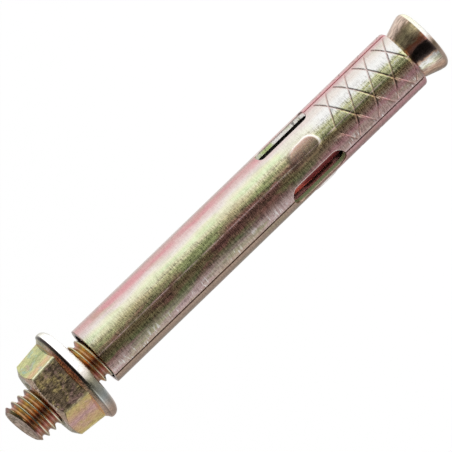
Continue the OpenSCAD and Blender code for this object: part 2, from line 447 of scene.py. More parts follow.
def sleeve_rows():
    """Heights of the sleeve's rows, close together where there is detail."""
    rows = end_rows(SLEEVE_Z0, MOUTH_ROUND, 1, MOUTH_ROWS)
    rows += list(np.linspace(SLEEVE_Z0 + MOUTH_ROUND, GROOVE_FADE_Z, GROOVED_ROWS))
    for length, end in ((WINDOW_L, WINDOW_END), (SEAM_WINDOW_L, SEAM_WINDOW_END)):
        rows += end_rows(WINDOW_MID_Z - length / 2, end, 1, WINDOW_END_ROWS)
        rows += end_rows(WINDOW_MID_Z + length / 2, end, -1, WINDOW_END_ROWS)
    rows += list(np.linspace(WINDOW_Z0 + WINDOW_END, WINDOW_Z1 - WINDOW_END, WINDOW_ROWS))
    rows += list(np.linspace(WINDOW_Z1, SLEEVE_Z1 - TOP_ROUND, PLAIN_ROWS))
    rows += [SLEEVE_Z1 - TOP_ROUND / 2, SLEEVE_Z1 - TOP_ROUND / 6, SLEEVE_Z1]
    kept = []
    for z in sorted(rows):
        if not kept or z - kept[-1] > LEAST_ROW_GAP:
            kept.append(z)
    return kept


def leaf_opening(z, at_seam):
    """Half width of the opening at one leaf edge, the rounding of its cut edge, and a share that
    is 1 at a window and 0 at a slit."""
    if at_seam:
        half = window_half_width(z, SEAM_WINDOW_L, SEAM_WINDOW_HALF, SEAM_WINDOW_END,
                                 SEAM_WINDOW_END_POWER, SLIT_HALF)
    else:
        slit = SLIT_HALF if z < WINDOW_Z0 + WINDOW_END else 0.0
        half = window_half_width(z, WINDOW_L, WINDOW_HALF, WINDOW_END, WINDOW_END_POWER, slit)
    wide = float(smooth01((half - SLIT_HALF) / WIDE_FROM_SLIT))
    edge = SLIT_EDGE + (WINDOW_EDGE - SLIT_EDGE) * wide if half > 0 else 0.0
    return half, edge, wide


def cut_edge_points(angle_rad, back_rad, edge, outer, z):
    """Points of a cut edge from the outside in, at the angle of its wall."""
    places = [(back_rad * back, edge * down) for back, down in EDGE_POINTS]
    places += [(0.0, SHEET_T * share) for share in WALL_DEPTHS]
    angles = [angle_rad + back for back, down in places]
    return turned(angles, [max(outer - down, INNER_R + WALL_FOOT) for back, down in places], z)


def wall_marks(wide, edge_highlight):
    """Vertex colours of the points of a cut edge, from the outside in. Alpha marks an edge that gets a
    painted highlight.
    """
    edge = (0, 0, 0, wide if edge_highlight else 0)
    return [edge] * len(EDGE_POINTS) + [(0, wide, 1 - wide, 0)] * len(WALL_DEPTHS)


def leaf_row(z, leaf, left_angle):
    """Points and vertex colours of one row of a leaf, and whether its left and right edges are cut
    open there. The row runs over the outside, round the right edge, back along the inside and round
    the left edge."""
    right_angle = left_angle + 360 / LEAVES
    middle = (left_angle + right_angle) / 2
    left_half, left_edge, left_wide = leaf_opening(z, leaf == 0)
    right_half, right_edge, right_wide = leaf_opening(z, leaf == LEAVES - 1)
    outer = sleeve_outer_radius(z)
    low = math.radians(left_angle) + math.asin(left_half / SLEEVE_R)
    high = math.radians(right_angle) - math.asin(right_half / SLEEVE_R)

    around = np.linspace(low + left_edge / SLEEVE_R, high - right_edge / SLEEVE_R, LEAF_COLS)
    right_margin = GROOVE_WIDE_MARGIN if leaf == LEAVES - 1 else GROOVE_MARGIN
    margin = np.minimum((around - low) * SLEEVE_R - GROOVE_MARGIN,
                        (high - around) * SLEEVE_R - right_margin)
    groove = groove_shape(np.degrees(around) - middle, z) * smooth01(margin / GROOVE_FADE_W)
    groove = groove * smooth01((GROOVE_FADE_Z - z) / GROOVE_FADE_H)
    groove = groove * smooth01((z - SLEEVE_Z0 - GROOVE_MOUTH_GAP) / GROOVE_MOUTH_FADE)
    rise, boss, crisp = boss_rise(around - math.radians(middle), z)
    inside = np.linspace(high, low, INSIDE_COLS)
    swell = np.maximum(boss_rise(inside - math.radians(middle), z)[0], 0.0)

    points = turned(around, outer - GROOVE_DEPTH * groove + rise, z)
    points += cut_edge_points(high, -right_edge / SLEEVE_R, right_edge, outer, z)
    points += turned(inside, INNER_R + swell, z)
    points += cut_edge_points(low, left_edge / SLEEVE_R, left_edge, outer, z)[::-1]
    # Only the first leaf, which faces the camera, gets painted highlights on its window edges.
    press = [(share, 0, 0, 0) for share in groove] + wall_marks(right_wide, leaf == 0)
    press += [(0, 0, 1, 0)] * INSIDE_COLS + wall_marks(left_wide, leaf == 0)[::-1]
    bosses = [(raised, sharp, 0, 0) for raised, sharp in zip(boss, crisp)]
    bosses += [(0, 0, 0, 0)] * (LEAF_LOOP - LEAF_COLS)
    return points, press, bosses, (left_half > 0, right_half > 0)


def leaf_faces(start, opened):
    """Faces of a leaf: its rows joined, except at an edge that isn't cut open, and its two ends."""
    faces = []
    for i in range(len(opened) - 1):
        left_open = opened[i][0] or opened[i + 1][0]
        right_open = opened[i][1] or opened[i + 1][1]
        a = start + i * LEAF_LOOP
        b = a + LEAF_LOOP
        for j in range(LEAF_LOOP):
            on_right = LEAF_COLS - 1 <= j < LEAF_COLS + WALL_COLS
            on_left = j >= LEAF_COLS + WALL_COLS + INSIDE_COLS - 1
            if (on_right and not right_open) or (on_left and not left_open):
                continue
            k = (j + 1) % LEAF_LOOP
            faces.append((a + j, a + k, b + k, b + j))
    last = start + (len(opened) - 1) * LEAF_LOOP
    faces.append(tuple(range(start + LEAF_LOOP - 1, start - 1, -1)))
    faces.append(tuple(range(last, last + LEAF_LOOP)))
    return faces


def build_sleeve():
    """Rolled sleeve as three leaves, which meet where nothing is cut. The vertex colour "press" marks
    the grooves in red, the walls of the windows in green, the inside and the slits in blue, and in
    alpha the window edges that get a painted highlight. "boss" marks the bosses in red and in green the
    line along their crisp edges where a highlight is painted."""
    verts = []
    faces = []
    press = []
    bosses = []
    heights = sleeve_rows()
    for leaf in range(LEAVES):
        left_angle = azimuth_of(SEAM_SIDE) + leaf * 360 / LEAVES
        start = len(verts)
        opened = []
        for z in heights:
            points, press_row, boss_row, is_open = leaf_row(z, leaf, left_angle)
            verts += points
            press += press_row
            bosses += boss_row
            opened.append(is_open)
        faces += leaf_faces(start, opened)
    layers = (("press", press), ("boss", bosses))
    return make_piece("sleeve_body", verts, faces, SLEEVE_SHARP, FINE_WELD, layers)


# The nut

NUT_COLS = 240
NUT_EDGE_ROUND = 0.07
NUT_SHARP = 22.0
# Vertex colours of the nut's parts
ON_FRONT = (0, 0, 1, 0)
ON_CORNER = (0, 0, 0, 1)
ON_SLOPES = (1, 0, 0, 0)
ON_RIM = (0, 1, 0, 0)
PLAIN = (0, 0, 0, 0)


def hex_radius(azimuth_rad, z):
    """Distance from the axis to the drafted hexagon at a height above the bearing face."""
    flat = NUT_AF / 2 - (z - NUT_AF_H) * math.tan(math.radians(NUT_DRAFT))
    local = (azimuth_rad - math.radians(azimuth_of(NUT_CORNER_SIDE))) % (math.pi / 3) - math.pi / 6
    return flat / math.cos(local)


def solve_height(difference, low, high):
    """Height at which a falling difference crosses zero, by halving."""
    for _ in range(40):
        middle = (low + high) / 2
        if difference(middle) > 0:
            low = middle
        else:
            high = middle
    return (low + high) / 2


def nut_profile(azimuth_rad, hex_colour):
    """Radii, heights and vertex colours at one azimuth: from the bore over the front, the chamfer,
    the hexagon, the sloping flange, the rim and the bearing face."""
    height = NUT_Z1 - NUT_Z0
    chamfer = math.tan(math.radians(FRONT_ANGLE))
    slope = math.tan(math.radians(SKIRT_ANGLE))
    rim_slope = math.tan(math.radians(RIM_ANGLE))
    slope_r = FLANGE_R - RIM_FRONT_INSET
    slope_z = RIM_ROUND_H + RIM_FRONT_H
    crease_z = slope_z + (slope_r - CREASE_R) * rim_slope
    sink_r = NUT_BORE_R + NUT_SINK

    def hex_inside_chamfer(z):
        """How far the chamfer's cone is outside the hexagon."""
        return FRONT_R + (height - z) / chamfer - hex_radius(azimuth_rad, z)

    def skirt_over_hex(z):
        """How far the flange's slope is outside the hexagon."""
        return CREASE_R - (z - crease_z) / slope - hex_radius(azimuth_rad, z)

    z_chamfer = solve_height(hex_inside_chamfer, NUT_AF_H, height)
    z_skirt = solve_height(skirt_over_hex, crease_z - 1.0, height)
    front = [(NUT_BORE_R, height - BORE_RING_H), (NUT_BORE_R, height - NUT_SINK)]
    front += [(sink_r, height - SINK_EDGE_H), (sink_r + SINK_EDGE_W, height)]
    front += [(r, height) for r in np.linspace(sink_r + 0.3, FRONT_R - FRONT_EDGE_W, 3)]
    front.append((FRONT_R, height - FRONT_EDGE_H))
    for z in np.linspace(height - 4 * FRONT_EDGE_H, z_chamfer, 4)[:-1]:
        front.append((FRONT_R + (height - z) / chamfer, z))
    sides = [(hex_radius(azimuth_rad, z), z) for z in np.linspace(z_chamfer, z_skirt, 9)]

    slopes = []
    foot_r = sides[-1][0]
    for share in (0.3, 0.65, 1.0):
        r = foot_r + (CREASE_R - foot_r) * share
        slopes.append((r, crease_z + (CREASE_R - r) * slope))
    turn_r = slope_r - RIM_TURN_W
    for share in (0.35, 0.7):
        r = CREASE_R + (turn_r - CREASE_R) * share
        slopes.append((r, slope_z + (slope_r - r) * rim_slope))
    rim = []
    low_z = RIM_ROUND_H + RIM_FRONT_H * 0.4
    turn_z = slope_z + RIM_TURN_W * rim_slope
    for turn in np.linspace(0, math.pi / 2, 6):
        rim.append((turn_r + (FLANGE_R - turn_r) * math.sin(turn),
                    low_z + (turn_z - low_z) * math.cos(turn)))
    rim += quarter_points(BEARING_R, 0.0, FLANGE_R, RIM_ROUND_H, 10)[::-1]
    under = [(sink_r, 0.0), (NUT_BORE_R, NUT_SINK), (NUT_BORE_R, BORE_RING_H)]
    parts = ((front, ON_FRONT), (sides, hex_colour), (slopes, ON_SLOPES), (rim, ON_RIM), (under, PLAIN))
    return [(r, z, colour) for points, colour in parts for r, z in points]


def build_nut():
    """Flange nut from one profile at each azimuth, so that every edge is exact. The vertex colour
    "forge" marks the flange's slopes in red, its rim in green, the front in blue and the corners of
    the hexagon in alpha."""
    start_angle = math.radians(azimuth_of(NUT_CORNER_SIDE))
    verts = []
    marks = []
    for j in range(NUT_COLS):
        angle = start_angle + TAU * j / NUT_COLS
        hex_colour = ON_CORNER if j % (NUT_COLS // 6) < 2 else PLAIN
        radii, heights, colours = zip(*nut_profile(angle, hex_colour))
        verts += turned(angle, radii, NUT_Z0 + np.array(heights))
        marks += colours
    faces = []
    count = len(verts) // NUT_COLS
    for j in range(NUT_COLS):
        row = j * count
        after = (j + 1) % NUT_COLS * count
        for i in range(count):
            k = (i + 1) % count
            faces.append((row + i, after + i, after + k, row + k))
    obj = make_piece("nut_body", verts, faces, NUT_SHARP, FINE_WELD, (("forge", marks),))
    add_bevel(obj, NUT_EDGE_ROUND, NUT_SHARP, 3)
    return obj


# Materials

def grey(value):
    """A colour with all three channels alike."""
    return (value, value, value)


def ramp_by_side(pairs):
    """Ramp stops from pairs of side angle and colour, sorted, with the ends joined."""
    stops = sorted((((azimuth_of(side) + 180) % 360) / 360, colour) for side, colour in pairs)
    first, last = stops[0], stops[-1]
    gap = first[0] + 1 - last[0]
    share = (1 - last[0]) / gap if gap else 0.0
    joint = tuple(end + (start - end) * share for start, end in zip(first[1], last[1]))
    return [(0.0, joint)] + stops + [(1.0, joint)]


class Nodes:
    """Short calls for building a material's nodes."""

    def __init__(self, name):
        self.material = bpy.data.materials.new(name)
        self.material.use_nodes = True
        self.tree = self.material.node_tree
        self.tree.nodes.clear()
        self.output = self.tree.nodes.new("ShaderNodeOutputMaterial")

    def add(self, kind, **settings):
        node = self.tree.nodes.new(kind)
        for key, value in settings.items():
            setattr(node, key, value)
        return node

    def link(self, source, target):
        self.tree.links.new(source, target)

    def math(self, operation, first, second=None, third=None, clamp=False):
        node = self.add("ShaderNodeMath", operation=operation, use_clamp=clamp)
        for socket, value in zip(node.inputs, (first, second, third)):
            if value is None:
                continue
            if isinstance(value, (int, float)):
                socket.default_value = value
            else:
                self.link(value, socket)
        return node.outputs[0]

    def mix(self, factor, first, second, blend="MIX"):
        node = self.add("ShaderNodeMix", data_type="RGBA", blend_type=blend)
        node.clamp_factor = True
        node.clamp_result = blend == "MULTIPLY"
        for index, value in ((0, factor), (6, first), (7, second)):
            socket = node.inputs[index]
            if isinstance(value, (int, float)):
                socket.default_value = value
            elif isinstance(value, tuple):
                socket.default_value = (*value, 1.0)
            else:
                self.link(value, socket)
        return node.outputs[2]

    def times(self, first, second):
        return self.math("MULTIPLY", first, second)

    def opposite(self, share):
        return self.math("SUBTRACT", 1.0, share, clamp=True)

    def weighed(self, *pairs):
        """Sum of values, each times its weight."""
        total = self.times(*pairs[0])
        for value, weight in pairs[1:]:
            total = self.math("ADD", total, self.times(value, weight))
        return total

    def tint(self, colour, other, mask, strength):
        """The colour with another laid over it, as strongly as the mask and the strength say."""
        return self.mix(self.times(mask, strength), colour, other)

    def darken(self, colour, factor):
        return self.mix(1.0, colour, factor, "MULTIPLY")

    def place(self):
        """Position in the row frame, in millimetres."""
        source = self.add("ShaderNodeTexCoord").outputs["Object"]
        scale = self.add("ShaderNodeVectorMath", operation="SCALE")
        scale.inputs["Scale"].default_value = 1 / MM
        self.link(source, scale.inputs[0])
        return scale.outputs[0]

    def noise(self, vector, scale, stretch=(1, 1, 1), detail=3.0, rough=0.55, distort=0.0):
        node = self.add("ShaderNodeTexNoise")
        node.inputs["Scale"].default_value = scale
        node.inputs["Detail"].default_value = detail
        node.inputs["Roughness"].default_value = rough
        node.inputs["Distortion"].default_value = distort
        mapping = self.add("ShaderNodeMapping")
        mapping.inputs["Scale"].default_value = stretch
        self.link(vector, mapping.inputs["Vector"])
        self.link(mapping.outputs[0], node.inputs["Vector"])
        return node.outputs["Fac"]

    def remap(self, value, low, high, to_low=0.0, to_high=1.0):
        node = self.add("ShaderNodeMapRange")
        names = ("From Min", "From Max", "To Min", "To Max")
        for name, number in zip(names, (low, high, to_low, to_high)):
            node.inputs[name].default_value = number
        self.link(value, node.inputs["Value"])
        return node.outputs["Result"]

    def between(self, value, start, full, end, gone):
        """A mask that rises from start to full and falls from end to gone."""
        return self.times(self.remap(value, start, full), self.remap(value, gone, end))

    def ramp(self, value, stops):
        node = self.add("ShaderNodeValToRGB")
        band = node.color_ramp
        while len(band.elements) < len(stops):
            band.elements.new(0.5)
        for element, (place, colour) in zip(band.elements, stops):
            element.position = place
            element.color = (*colour, 1.0)
        self.link(value, node.inputs["Fac"])
        return node.outputs["Color"]

    def bands(self, turn, pairs):
        """Colours round the axis from pairs of side angle and colour."""
        return self.ramp(turn, ramp_by_side(pairs))

    def mask(self, turn, pairs):
        """Brightness or strength round the axis from pairs of side angle and value."""
        return self.bands(turn, [(side, grey(value)) for side, value in pairs])

    def wander(self, turn, noise, amount):
        """The turn, moved to and fro by a noise."""
        return self.math("ADD", turn, self.math("MULTIPLY_ADD", noise, amount, -amount / 2))

    def azimuth(self, vector):
        """Turn round the axis, 0 to 1, starting at -180 degrees."""
        parts = self.add("ShaderNodeSeparateXYZ")
        self.link(vector, parts.inputs[0])
        angle = self.math("ARCTAN2", parts.outputs["Y"], parts.outputs["X"])
        return self.math("MULTIPLY_ADD", angle, 1 / TAU, 0.5), parts.outputs["Z"]

    def bump(self, height, distance, strength=1.0, normal=None):
        node = self.add("ShaderNodeBump")
        node.inputs["Strength"].default_value = strength
        node.inputs["Distance"].default_value = distance * MM
        self.link(height, node.inputs["Height"])
        if normal is not None:
            self.link(normal, node.inputs["Normal"])
        return node.outputs["Normal"]

    def radius(self, vector):
        """Distance from the axis, in the unit of the vector."""
        flat = self.add("ShaderNodeVectorMath", operation="MULTIPLY")
        flat.inputs[1].default_value = (1, 1, 0)
        self.link(vector, flat.inputs[0])
        size = self.add("ShaderNodeVectorMath", operation="LENGTH")
        self.link(flat.outputs[0], size.inputs[0])
        return size.outputs["Value"]

    def marks(self, layer):
        """The four channels of a vertex colour."""
        source = self.add("ShaderNodeVertexColor", layer_name=layer)
        parts = self.add("ShaderNodeSeparateColor")
        self.link(source.outputs["Color"], parts.inputs[0])
        return parts.outputs[0], parts.outputs[1], parts.outputs[2], source.outputs["Alpha"]

    def metal(self, colour, grain, normal, bare, smooth=0.18, rough=0.32):
        """The material as plated metal, with its roughness from the grain. Where the bare share is
        more than 0, part of its light is scattered."""
        shader = self.add("ShaderNodeBsdfPrincipled")
        self.link(self.opposite(bare), shader.inputs["Metallic"])
        self.link(colour, shader.inputs["Base Color"])
        self.link(self.remap(grain, 0.3, 0.7, smooth, rough), shader.inputs["Roughness"])
        self.link(normal, shader.inputs["Normal"])
        self.link(shader.outputs[0], self.output.inputs["Surface"])
        return self.material


# Plating colours and colours of painted highlight and shade, in linear light
CREAM = (0.95, 0.93, 0.68)
PALE = (0.92, 0.84, 0.78)
PINK = (0.84, 0.50, 0.48)
ROSE = (0.88, 0.64, 0.62)
DUSTY = (0.70, 0.48, 0.44)
SAND = (0.84, 0.64, 0.52)
PEACH = (0.86, 0.56, 0.40)
TAN = (0.70, 0.50, 0.38)
STRAW = (0.72, 0.66, 0.45)
LIME = (0.90, 0.90, 0.48)
AMBER = (0.76, 0.54, 0.28)
SAGE = (0.50, 0.46, 0.32)
GREEN = (0.50, 0.56, 0.26)
OLIVE = (0.50, 0.42, 0.24)
BROWN = (0.64, 0.46, 0.30)
UMBER = (0.30, 0.22, 0.14)
MAROON = (0.46, 0.24, 0.20)
CRIMSON = (0.80, 0.17, 0.12)
ORANGE = (0.86, 0.44, 0.16)
GOLD = (0.84, 0.66, 0.26)
SHADE_RED_BROWN = (0.40, 0.13, 0.06)
STEEL = (0.56, 0.60, 0.58)
PEAR = (0.74, 0.74, 0.34)
APRICOT = (0.94, 0.60, 0.34)
SKY = (0.42, 0.62, 0.56)
SHADE_DARK = (0.14, 0.10, 0.09)
# Cut walls: lit on the upper side, painted shade on the lower side
CUT_LIT = (0.52, 0.66, 0.28)
CUT_SHADE = (0.13, 0.19, 0.07)
# Near-black painted shade for the inside of the sleeve
INSIDE_SHADE = (0.03, 0.012, 0.01)
LEAF_GREEN = (0.46, 0.50, 0.23)
MINT = (0.82, 0.94, 0.60)
WINE = (0.62, 0.30, 0.24)
BLUSH = (0.88, 0.44, 0.46)
WHITE = (0.98, 0.97, 0.94)
BLOOD = (0.26, 0.05, 0.05)


# Plating colours round each piece, as pairs of side angle and colour. The side angle is measured from
# the camera, so along with the plating's tint these bands paint the reflections and shade that the lit
# metal shows toward the camera.
GREEN_STREAKS = (
    (-160, CREAM), (-120, PINK), (-92, SAGE), (-70, TAN), (-60, TAN), (-50, SAND), (-41, STRAW),
    (-31, SAGE), (-22, LEAF_GREEN), (-10, AMBER), (-2, LEAF_GREEN), (10, LEAF_GREEN), (18, STRAW),
    (26, MINT), (34, CREAM), (42, PALE), (50, ROSE), (62, PINK), (72, DUSTY), (82, PALE),
    (105, TAN), (125, CREAM), (155, PINK),
)
PINK_STREAKS = (
    (-160, PALE), (-120, BLUSH), (-92, DUSTY), (-72, TAN), (-58, TAN), (-48, ROSE), (-40, ROSE),
    (-30, DUSTY), (-20, WINE), (-10, WINE), (0, WINE), (7, OLIVE), (15, OLIVE), (22, STRAW),
    (29, CREAM), (38, PALE), (47, ROSE), (54, BLUSH), (64, BLUSH), (74, DUSTY), (82, ROSE),
    (105, TAN), (125, PALE), (155, PINK),
)
# The sleeve's cone end: the white bands are a painted highlight.
CONE_END_STREAKS = (
    (-160, CREAM), (-120, PINK), (-90, ROSE), (-78, PINK), (-64, BLUSH), (-52, ROSE), (-43, DUSTY),
    (-36, DUSTY), (-28, BLUSH), (-19, PEACH), (-11, AMBER), (-4, LEAF_GREEN), (3, LIME), (10, LIME),
    (20, WHITE), (31, WHITE), (41, PALE), (49, PALE), (58, ROSE), (68, BLUSH), (82, ROSE),
    (105, TAN), (125, PALE), (155, PINK),
)
THREAD_BANDS = (
    (-170, GOLD), (-130, PINK), (-90, AMBER), (-72, PEACH), (-58, TAN), (-44, PINK), (-32, MAROON),
    (-20, AMBER), (-8, MAROON), (4, ORANGE), (14, AMBER), (26, OLIVE), (38, GOLD), (50, OLIVE),
    (62, TAN), (76, PINK), (95, TAN), (125, GREEN), (150, ORANGE),
)
# The cone: painted shade in a dark band near the side toward the camera, and painted highlights in the
# white and cream bands beside it.
CONE_REFLECTION_BANDS = (
    (-150, GREEN), (-100, OLIVE), (-76, TAN), (-62, PEACH), (-50, SAND), (-43, CREAM), (-33, WHITE),
    (-29, PEACH), (-25, SHADE_DARK), (-6, SHADE_DARK), (1, WINE), (8, SHADE_RED_BROWN), (14, UMBER), (28, OLIVE),
    (44, UMBER), (52, SAND), (90, SAND), (130, PINK),
)
# The cone's rim: white painted highlight on the lit side.
CONE_RIM_HIGHLIGHT_BANDS = (
    (-90, TAN), (-40, SAND), (-16, UMBER), (-8, SAND), (4, WHITE), (70, CREAM), (90, TAN),
)
CONE_END_Z = SLEEVE_Z0 + 19.0
CONE_END_FADE_Z = SLEEVE_Z0 + 25.0
# The hexagon's faces: the umber on the face toward the camera is painted shade.
NUT_FACE_BANDS = (
    (-170, ORANGE), (-150, PINK), (-120, GOLD), (-92, APRICOT), (-84, GOLD), (-70, APRICOT),
    (-54, PINK), (-40, APRICOT), (-27, GOLD), (-22, UMBER), (0, UMBER), (16, UMBER), (32, UMBER),
    (35, PEAR), (44, APRICOT), (54, PEAR), (68, GREEN), (80, PEAR), (90, PEAR), (110, OLIVE),
    (130, PINK), (155, GOLD),
)
# The nut's rim: the white on the lit side is a painted highlight.
NUT_RIM_HIGHLIGHT_BANDS = (
    (-90, PEACH), (-60, TAN), (-40, STEEL), (-14, SAGE), (-4, PALE), (4, WHITE), (60, WHITE),
    (90, SAGE),
)
# The flange's slopes: the dark red-brown toward the camera is painted shade.
NUT_NECK_BANDS = (
    (-90, PEACH), (-50, TAN), (-24, BROWN), (-4, SHADE_RED_BROWN), (30, SHADE_RED_BROWN), (46, TAN), (60, SAGE),
    (90, STRAW),
)
NUT_FRONT_BANDS = ((-90, SAGE), (-50, TAN), (0, SAND), (50, TAN), (90, SAGE))
# Where speckle shows on the sleeve: strongest in the band that lies in shade toward the camera
SLEEVE_SHADE = (
    (-90, 0.25), (-58, 0.3), (-46, 0.45), (-30, 0.6), (-20, 1.0), (8, 1.0), (16, 0.85), (24, 0.3),
    (32, 0.08), (90, 0.15),
)


def sleeve_streaks(n, place, turn, height):
    """Streaks of colour along the sleeve. They drift between two kinds, and the cone end has its
    own, paler ones."""
    drift = n.remap(n.noise(place, 0.62, (1, 1, 0.22), 4, 0.6, 0.3), 0.43, 0.57)
    colour = n.mix(drift, n.bands(turn, GREEN_STREAKS), n.bands(turn, PINK_STREAKS))
    blend = n.math("MULTIPLY_ADD", n.noise(place, 0.3, (1, 1, 0.6), 3), 12.0, height)
    blend = n.remap(blend, CONE_END_FADE_Z, CONE_END_Z)
    colour = n.mix(blend, colour, n.bands(turn, CONE_END_STREAKS))
    patch = n.remap(n.noise(place, 0.5, (1, 1, 0.4), 4, 0.6, 0.4), 0.55, 0.68)
    return n.tint(colour, LEAF_GREEN, patch, 0.25)


def window_wall(n, place, turn):
    """Walls of the windows: white and green with torn marks on the upper side, painted as lit, and dark
    green below as painted shade.
    """
    sheared = n.mix(n.remap(n.noise(place, 0.45), 0.44, 0.56), WHITE, CUT_LIT)
    torn = n.remap(n.noise(place, 2.2, (0.2, 0.2, 1), 3), 0.36, 0.44, 0.25, 1.0)
    shaded_side = n.mask(turn, [(-90, 1), (-30, 1), (30, 0), (90, 0)])
    return n.mix(shaded_side, n.darken(sheared, torn), CUT_SHADE)


def sleeve_material():
    """Plated sheet: streaks of colour along the sleeve, brush marks round it, painted shade in the
    grooves, and painted highlights and shade at the bosses, the windows and the inside.
    """
    n = Nodes("sleeve_plating")
    place = n.place()
    turn, height = n.azimuth(place)
    turn_soft = n.wander(turn, n.noise(place, 0.55, (1, 1, 0.25), 3), 0.03)
    colour = sleeve_streaks(n, place, turn_soft, height)

    scratch = n.noise(place, 7.0, (1, 1, 0.08), 4, 0.7)
    hatch = n.noise(place, 6.5, (0.24, 0.24, 1), 4, 0.75)
    grain = n.noise(place, 8.0, (1, 1, 0.7), 4, 0.78)
    drawn = n.noise(place, 3.6, (1, 1, 0.035), 3, 0.6)
    # Light and dark speckle is painted on the grain where the sleeve lies in shade toward the camera.
    speckle = n.remap(n.weighed((hatch, 0.45), (grain, 0.30), (drawn, 0.25)), 0.39, 0.61, 0.05, 1.95)
    colour = n.mix(n.mask(turn_soft, SLEEVE_SHADE), colour, n.darken(colour, speckle))
    # White ticks are painted glints where the hatch marks catch the light beside the seam.
    tick = n.remap(n.noise(place, 4.0, (0.20, 0.20, 1), 2), 0.57, 0.63)
    tick = n.times(tick, n.remap(n.noise(place, 0.35, detail=2), 0.45, 0.55))
    glint_near_seam = n.mask(turn_soft, [(-56, 0), (-50, 0.9), (-40, 0.7), (-30, 0.1), (-20, 0)])
    tick = n.times(tick, glint_near_seam)
    colour = n.mix(tick, colour, WHITE)
    line = n.mask(turn, [(-4.6, 0), (-3.0, 1), (-1.4, 0)])
    line = n.times(line, n.remap(n.noise(place, 0.5), 0.38, 0.55, 0.25, 1.0))
    colour = n.mix(line, colour, ROSE)
    shade = n.math("MULTIPLY_ADD", scratch, 0.40, 0.55)
    colour = n.darken(colour, n.math("MULTIPLY_ADD", hatch, 0.45, shade, clamp=True))

    groove, wall, inside, edge = n.marks("press")
    raised, crisp = n.marks("boss")[:2]
    colour = n.tint(colour, n.mix(n.remap(grain, 0.42, 0.58), DUSTY, WINE), raised, 0.75)
    # Painted highlight along the boss's crisp edge.
    colour = n.tint(colour, WHITE, crisp, 0.9)
    # Painted shade, maroon, in the grooves.
    colour = n.tint(colour, MAROON, groove, 0.7)
    # Painted highlight along the rounded window edges.
    colour = n.tint(colour, PALE, edge, 0.85)
    colour = n.tint(colour, window_wall(n, place, turn), wall, 0.9)
    # The inside is painted near-black as shade, and crimson near the lower windows.
    near_window = n.between(height, WINDOW_Z0 - 1.0, WINDOW_Z0 + 1.5, WINDOW_Z1 - 1.5, WINDOW_Z1 + 1.0)
    red = n.times(n.mask(turn, [(-130, 0), (-100, 1), (-40, 1), (-10, 0)]), near_window)
    within = n.remap(inside, 0.4, 1.0)
    colour = n.mix(within, colour, n.mix(red, INSIDE_SHADE, CRIMSON))
    bare = n.weighed((line, 0.22), (tick, 0.35), (edge, 0.45), (wall, 0.75), (crisp, 0.55),
                     (n.times(within, red), 0.9))
    normal = n.bump(scratch, 0.010, 0.6)
    normal = n.bump(hatch, 0.022, 0.8, normal)
    normal = n.bump(grain, 0.010, 0.7, normal)
    return n.metal(colour, grain, normal, bare)


def cone_plating(n, place, turn, turn_soft, rim):
    """Bands of colour round the cone, streaked along it, with others on its rim. Besides the plating's
    tint they hold painted reflection: painted shade in a dark band near the side toward the camera, and
    painted highlights beside it and on the rim.
    """
    streak = n.noise(place, 3.0, (1, 1, 0.15), 4, 0.7)
    colour = n.bands(n.wander(turn_soft, streak, 0.06), CONE_REFLECTION_BANDS)
    colour = n.darken(colour, n.remap(streak, 0.35, 0.65, 0.55, 1.35))
    return n.mix(rim, colour, n.bands(turn, CONE_RIM_HIGHLIGHT_BANDS))


def bolt_material():
    """Plated steel of the stud: bands of colour on the cone with painted highlights and shade in them,
    red on the shank inside the sleeve with painted black shade round the rest of it there, and a
    painted highlight on the crests and painted shade in the roots of the thread."""
    n = Nodes("bolt_plating")
    place = n.place()
    turn, height = n.azimuth(place)
    radius = n.radius(place)
    turn_soft = n.wander(turn, n.noise(place, 0.8, (1, 1, 0.6), 3), 0.05)
    colour = n.bands(turn_soft, THREAD_BANDS)
    patch = n.remap(n.noise(place, 1.1, (1, 1, 1), 4, 0.6, 0.5), 0.48, 0.66)
    colour = n.tint(colour, ORANGE, patch, 0.45)
    out_of_sleeve = n.remap(height, SLEEVE_Z1 - 1.0, SLEEVE_Z1 - 0.5)
    # Painted highlight on the crests of the thread outside the sleeve, and painted shade in its roots.
    crest = n.times(n.remap(radius, CREST_R - 0.10, CREST_R - 0.02), out_of_sleeve)
    colour = n.tint(colour, CREAM, crest, 0.75)
    colour = n.tint(colour, SHADE_RED_BROWN, n.remap(radius, ROOT_R + 0.16, ROOT_R + 0.02), 0.5)
    rim = n.remap(height, CONE_EDGE_H - 0.14, CONE_EDGE_H - 0.24)
    on_cone = n.remap(height, SLEEVE_Z0 + 1.0, SLEEVE_Z0 + 0.6)
    colour = n.mix(on_cone, colour, cone_plating(n, place, turn, turn_soft, rim))

    on_end = n.times(n.remap(radius, END_R + 0.05, END_R - 0.05),
                     n.remap(height, BOLT_L - 0.9, BOLT_L - 0.7))
    torn = n.remap(n.noise(place, 1.8, (1, 1, 1), 4, 0.7), 0.42, 0.60)
    colour = n.mix(on_end, colour, n.mix(torn, UMBER, SAND))
    # Inside the sleeve the shank is painted near-black as shade, and crimson behind the lower window.
    in_sleeve = n.between(height, SLEEVE_Z0 + 4.0, SLEEVE_Z0 + 6.0, SLEEVE_Z1 - 2.0, SLEEVE_Z1)
    red = n.mask(turn, [(-110, 0.3), (-80, 1), (-20, 1), (10, 0), (150, 0)])
    glow = n.mix(n.remap(n.noise(place, 0.8, (1, 1, 0.3), 3), 0.56, 0.66), BLOOD, CRIMSON)
    colour = n.mix(in_sleeve, colour, n.mix(red, INSIDE_SHADE, glow))
    grain = n.noise(place, 12.0, (1, 1, 1), 4, 0.75)
    colour = n.darken(colour, n.math("MULTIPLY_ADD", grain, 0.9, 0.55, clamp=True))
    lit_rim = n.mask(turn, [(-10, 0), (4, 0.6), (80, 0.4), (100, 0)])
    bare = n.weighed((n.times(in_sleeve, red), 0.45), (on_end, 0.3), (rim, lit_rim))
    return n.metal(colour, grain, n.bump(grain, 0.015, 0.6), bare)


